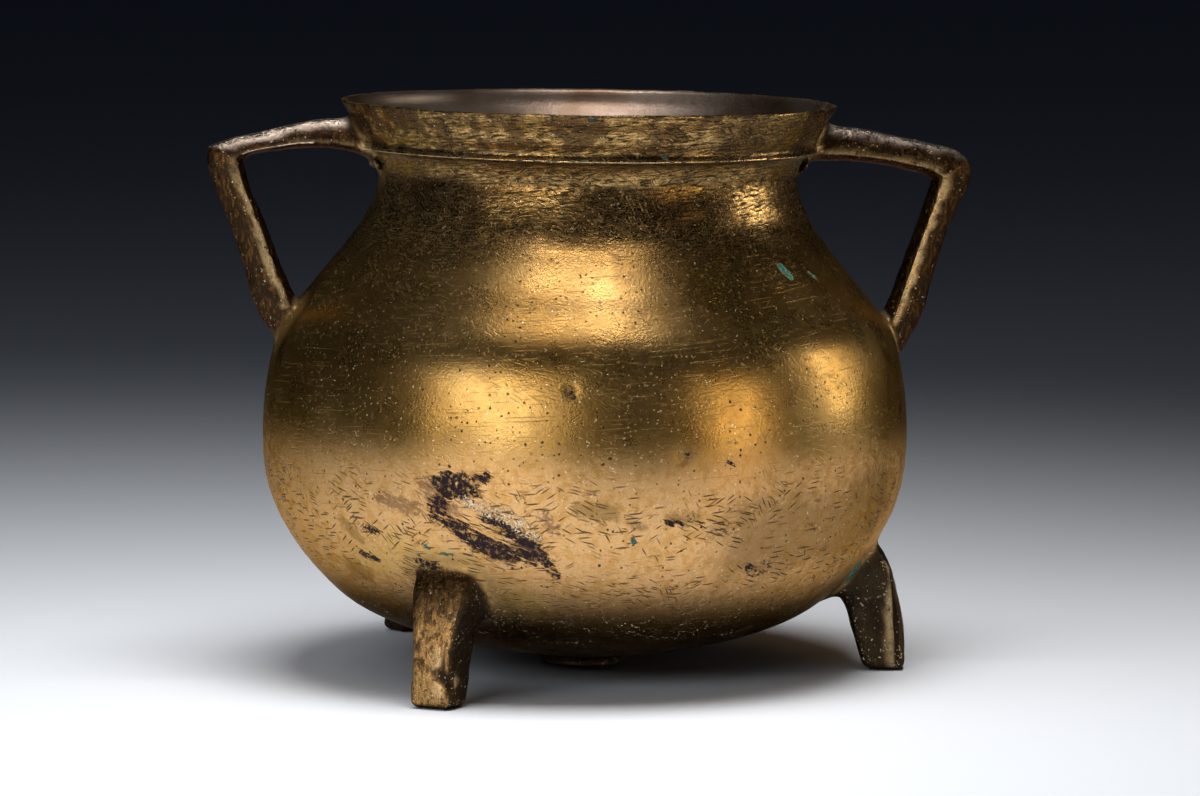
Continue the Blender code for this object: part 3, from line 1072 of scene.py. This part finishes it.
def bronze():
    """Worn cast bronze: brown patina above, rubbed gold below, file strokes, pits, crust and verdigris,
    with painted highlights on edges and handle tops and painted shade underneath, in hollows and on the
    feet.
    """
    t = Tree("worn_bronze")
    coordinates = t.add("ShaderNodeTexCoord", {}).outputs["Object"]
    place = t.add("ShaderNodeVectorMath", {0: coordinates, "Scale": 1 / MM}, operation="SCALE").outputs[0]
    x, y, z = t.add("ShaderNodeSeparateXYZ", {0: place}).outputs

    # The surface unrolled flat and cut open along the right handle.
    around = t.product(t.math("ARCTAN2", t.product(y, -1.0), t.product(x, -1.0)), BELLY_RADIUS)
    flat = t.add("ShaderNodeCombineXYZ", {"X": around, "Y": t.attribute("arc")}).outputs[0]

    limb, inside, rubbed, soot_and_shade, polish_and_highlight, upper, band, face, groove, bent = map(t.attribute, (
        "limb", "inside", "rubbed", "soot_and_shade", "polish_and_highlight", "upper", "band", "face", "groove", "bend"))
    wall = t.less(t.most(limb, inside))
    # Bright edges: wear where they stick out, and painted highlights on the arrises.
    worn_and_lit_edges = t.product(t.step(bent, 0.07, 0.16), t.step(soot_and_shade, 0.95, 0.75), t.step(z, *EDGES_ABOVE_Z))
    worn_and_lit_edges = t.most(t.product(worn_and_lit_edges, t.less(face)), t.attribute("arris"))
    worn_and_lit_edges = t.product(worn_and_lit_edges, t.step(groove, 0.6, 0.1), t.step(inside, 1.0, 0.5))
    # Painted shade in hollow corners and by the joints.
    hollow = t.most(t.step(bent, -0.22, -0.45), t.product(t.attribute("seam"), 0.4))

    # Noises from coarse to fine.
    cloud = t.noise(place, 34.0, 3.0)
    patch = t.noise(place, 11.0, 4.0, 0.6)
    mottle = t.noise(place, 3.0, 4.0, 0.65)
    holes = t.noise(place, 1.5, 4.0, 0.7)
    grain = t.noise(place, 0.8, 3.0, 0.6)
    fleck = t.noise(place, 0.45, 2.0)

    # Scratches, pits and bright nicks.
    strokes = t.product(file_strokes(t, place, flat, z), wall)
    hair = t.noise(t.mapped(flat, 4.0, (1 / 24.0, 1 / 0.5, 1.0)), 1.0, 2.0)
    hair = t.product(t.step(hair, 0.62, 0.72), t.step(patch, 0.38, 0.6), wall)
    pits = t.product(small_pits(t, place, patch, grain), t.less(inside))
    specks = t.noise(t.mapped(place, shift=(31.0, 17.0, 53.0)), 0.9, 2.0)
    specks = t.product(t.step(specks, 0.67, 0.72), t.less(inside))

    streaks = t.noise(t.mapped(flat, -24.0, (1 / 5.0, 1 / 0.9, 1.0)), 1.0, 4.0, 0.7)

    def stain(name, size, low, high, strength, streak=0.0):
        """An attribute broken up by noise and by slanting streaks, near its own lines only."""
        ragged = t.product(t.math("SUBTRACT", t.noise(place, size, 6.0, 0.78), 0.5), strength)
        ragged = t.total(t.attribute(name), ragged, t.product(t.math("SUBTRACT", streaks, 0.5), streak))
        return t.product(t.step(ragged, low, high), t.step(t.attribute(name), 0.0, 0.12))

    crust = t.product(stain("crust", 4.5, 0.3, 0.48, 2.8, 2.6), t.step(holes, 0.38, 0.5, 0.15, 1.0))
    lime = t.product(stain("lime", 1.3, 0.3, 0.5, 2.4), t.step(t.noise(place, 0.75, 1.0), 0.47, 0.57))
    rust = t.product(stain("rust", 1.2, 0.35, 0.8, 3.2, 2.4), 0.55)
    green = stain("verdigris", 1.6, 0.4, 0.6, 1.6)
    golden = t.product(stain("golden", 6.0, 0.2, 0.9, 1.6), 0.4)
    brown = t.product(stain("stain", 2.2, 0.3, 0.85, 2.2, 0.8), 0.6)
    patina_and_shade_patches = t.product(stain("dark_patina_and_shade", 7.0, 0.1, 0.9, 1.6), 0.6)

    # Long marks round the neck and band and down the limbs. Salt is pale grains in the soot and painted
    # shade.
    level = t.noise(t.mapped(flat, 3.0, (1 / 5.0, 1 / 0.7, 1.0)), 1.0, 3.0, 0.6)
    upright = t.noise(t.mapped(place, scale=(1.0, 1.0, 0.3)), 1.0, 4.0, 0.7)
    neck = t.product(upper, t.step(z, *NECK_MARKS_Z))
    salt = t.noise(t.mapped(place, shift=(11.0, 37.0, 5.0)), 0.9, 2.0)
    salt = t.product(t.step(salt, 0.63, 0.67), soot_and_shade, t.step(patch, 0.48, 0.6), 0.7)

    pale = t.product(rubbed, t.step(t.total(cloud, t.product(patch, 0.6)), 0.45, 0.85, 0.75, 1.0))
    light_marks = t.product(neck, t.step(level, 0.5, 0.38), t.step(patch, 0.6, 0.42, 0.15, 1.0))
    # The front foot's face: bare metal with painted light where the key light falls.
    bare_and_lit = t.step(t.total(upright, mottle), 0.88, 1.08, 0.2, 1.0)
    bare_and_lit = t.product(face, bare_and_lit, t.step(z, *BARE_FACE_Z, 0.15, 1.0))
    colour = t.painted(
        t.mix(t.step(cloud, 0.3, 0.7), UPPER_DARK, UPPER_LIGHT),
        (t.product(t.step(patch, 0.4, 0.8), 0.3), PATINA),
        (pale, t.mix(t.step(mottle, 0.35, 0.65), RUBBED, RUBBED_PALE)),
        (t.product(upper, t.step(patch, 0.3, 0.62, 0.25, 0.5)), PATINA),
        (light_marks, BAND_LIGHT),
        (t.product(band, t.step(patch, 0.46, 0.56), 0.9), PATINA),
        # Darker patina and painted shade in patches.
        (patina_and_shade_patches, PATINA),
        (limb, LIMB_DARK),
        (t.product(limb, t.step(upright, 0.5, 0.64)), LIMB_BROWN),
        (bare_and_lit, RUBBED_LIT_FACE),
        # Polish and painted highlight on the handles' tops.
        (t.product(polish_and_highlight, t.step(mottle, 0.3, 0.55, 0.6, 1.0)), POLISHED_HIGHLIGHT),
        # Soot and painted shade underneath and on the feet's sides.
        (t.product(soot_and_shade, 0.92), UNDER_SOOT_AND_SHADE),
        (golden, GOLD),
        (inside, t.mix(t.step(cloud, 0.35, 0.65), INSIDE_DARK, INSIDE_LIGHT)),
        # Worn edges with painted highlights.
        (t.product(worn_and_lit_edges, t.step(mottle, 0.25, 0.6, 0.35, 1.0)), EDGE_WEAR_AND_HIGHLIGHT),
        (t.product(t.step(mottle, 0.5, 0.72), 0.25), PATINA),
    )

    worn = t.most(t.product(upper, 0.7), limb, 0.22)
    rest = t.less(t.most(worn_and_lit_edges, polish_and_highlight))
    # Dirt in grooves, pits and strokes, with the painted shade of hollows and joints.
    dirt_and_shade = t.most(
        t.product(hollow, 0.85),
        t.product(groove, 0.95),
        t.product(worn, t.step(fleck, 0.5, 0.62), t.product(rest, 0.45)),
        t.product(neck, t.step(level, 0.54, 0.61), 0.92),
        t.product(limb, t.step(upright, 0.6, 0.66), rest, 0.8),
        t.product(strokes, 0.9),
        t.product(hair, 0.3),
        t.product(pits, 0.9),
    )
    colour = t.painted(
        colour,
        (dirt_and_shade, DIRT_AND_SHADE),
        (t.product(specks, 0.6), SPECK),
        (brown, STAIN),
        (rust, RUST),
        (crust, CRUST),
        (t.most(lime, salt), LIME),
        (green, t.mix(t.step(grain, 0.35, 0.65), VERDIGRIS_DARK, VERDIGRIS)),
    )

    matt = t.most(crust, lime, green, t.product(rust, 0.2), salt)
    rough = t.step(patch, 0.3, 0.7, 0.25, 0.32)
    for amount, value in (
        (rubbed, t.step(mottle, 0.3, 0.7, 0.34, 0.46)),
        (upper, t.step(mottle, 0.3, 0.7, 0.16, 0.26)),
        (limb, t.step(mottle, 0.3, 0.7, 0.26, 0.46)),
        (t.most(polish_and_highlight, worn_and_lit_edges), 0.2),
        (inside, 0.36),
        (dirt_and_shade, 0.55),
        (matt, 0.86),
    ):
        rough = t.mix_number(amount, rough, value)
    metal = t.mix_number(matt, t.mix_number(dirt_and_shade, 0.98, 0.25), 0.0)

    # Relief too fine for the mesh, in millimetres.
    height = t.total(
        t.product(strokes, -0.1), t.product(hair, -0.04), t.product(pits, -0.16), t.product(specks, 0.04),
        t.product(grain, t.mix_number(limb, 0.06, 0.14)),
        t.product(mottle, t.mix_number(limb, 0.035, 0.4)),
        t.product(patch, 0.03), t.product(fleck, worn, 0.07), t.product(level, neck, -0.11),
        t.product(upright, limb, -0.2),
        t.product(crust, 0.22), t.product(lime, 0.25), t.product(green, 0.15),
    )
    bump = t.add("ShaderNodeBump", {"Height": height, "Distance": MM})
    shader = t.add("ShaderNodeBsdfPrincipled", {
        "Base Color": colour, "Metallic": metal, "Roughness": rough, "Normal": bump.outputs[0],
        "Specular Tint": EDGE_ON,
    })
    t.add("ShaderNodeOutputMaterial", {"Surface": shader.outputs[0]})
    return t.material


def studio_floor():
    bpy.ops.mesh.primitive_plane_add(size=FLOOR_SIZE, location=(0.0, 0.0, 0.0))
    floor = bpy.context.object
    floor.name = "floor"
    t = Tree("pale_floor")
    shader = t.add("ShaderNodeBsdfPrincipled", {"Base Color": FLOOR_COLOUR, "Roughness": FLOOR_ROUGHNESS})
    t.add("ShaderNodeOutputMaterial", {"Surface": shader.outputs[0]})
    floor.data.materials.append(t.material)


def around_pot(right, up, distance):
    """A point seen from the pot: degrees to the right of the camera, degrees up, and metres away."""
    azimuth, rise = math.radians(270 - VIEW_AZIMUTH + right), math.radians(up)
    level = distance * math.cos(rise)
    return Vector((level * math.cos(azimuth), level * math.sin(azimuth), distance * math.sin(rise)))


def lamp(name, place, rotation, size, watts, colour, spread, lit):
    """A rectangular lamp; lit says whether it is for the "floor" or is mirrored in the "metal"."""
    light = bpy.data.lights.new(name, "AREA")
    light.shape = "RECTANGLE"
    light.size, light.size_y = size
    light.energy = watts
    light.color = colour
    light.spread = math.radians(spread)
    box = bpy.data.objects.new(name, light)
    box.location = place
    box.rotation_euler = rotation
    box.visible_camera = False
    box.visible_glossy = lit == "metal"
    box.visible_diffuse = lit == "floor"
    bpy.context.scene.collection.objects.link(box)


def lights():
    overhead = around_pot(0, 0, OVERHEAD_NEARER) + around_pot(90, 0, OVERHEAD_RIGHT)
    overhead += Vector((0.0, 0.0, OVERHEAD_Z))
    aside = around_pot(-90, 0, FILL_LEFT) + Vector((0.0, 0.0, FILL_HIGHER))
    turn = (0.0, math.radians(OVERHEAD_TILT), -math.radians(VIEW_AZIMUTH))
    lamp("overhead_box", overhead, turn, OVERHEAD_SIZE, 3.1, (1.0, 0.99, 0.97), 102, "floor")
    lamp("overhead_fill", overhead + aside, turn, OVERHEAD_SIZE, 1.3, (0.84, 0.92, 1.0), 180, "floor")
    for name, right, up, distance, size, watts, colour, lit in SOFTBOXES:
        offset = around_pot(right, up, distance)
        facing = offset.to_track_quat("Z", "Y").to_euler()
        lamp(name, AIM + offset, facing, size, watts, colour, SOFTBOX_SPREAD, lit)
    world = bpy.data.worlds.new("dark_studio")
    world.use_nodes = True
    world.node_tree.nodes["Background"].inputs["Color"].default_value = ROOM_DARK
    bpy.context.scene.world = world


def camera():
    data = bpy.data.cameras.new("photo_view")
    data.sensor_width = SENSOR
    data.lens = LENS
    eye = bpy.data.objects.new("photo_view", data)
    azimuth = math.radians(VIEW_AZIMUTH)
    right = Vector((math.cos(azimuth), -math.sin(azimuth), 0.0))
    ahead = Vector((math.sin(azimuth), math.cos(azimuth), 0.0))
    eye.location = VIEW_ASIDE * right - VIEW_DISTANCE * ahead + Vector((0.0, 0.0, VIEW_HEIGHT))
    eye.rotation_euler = (math.radians(90 - VIEW_DOWN), 0.0, -azimuth)
    bpy.context.scene.collection.objects.link(eye)
    bpy.context.scene.camera = eye


camera()
lights()
studio_floor()
pot, *measures = shape_pot()
mark_surface(pot, *measures)
to_metres(pot)
pot.data.materials.clear()
pot.data.materials.append(bronze())
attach(pot, "root")
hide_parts("cooking_pot")
bpy.context.scene.view_settings.view_transform = "Standard"
print("triangles", sum(len(p.vertices) - 2 for p in pot.data.polygons))
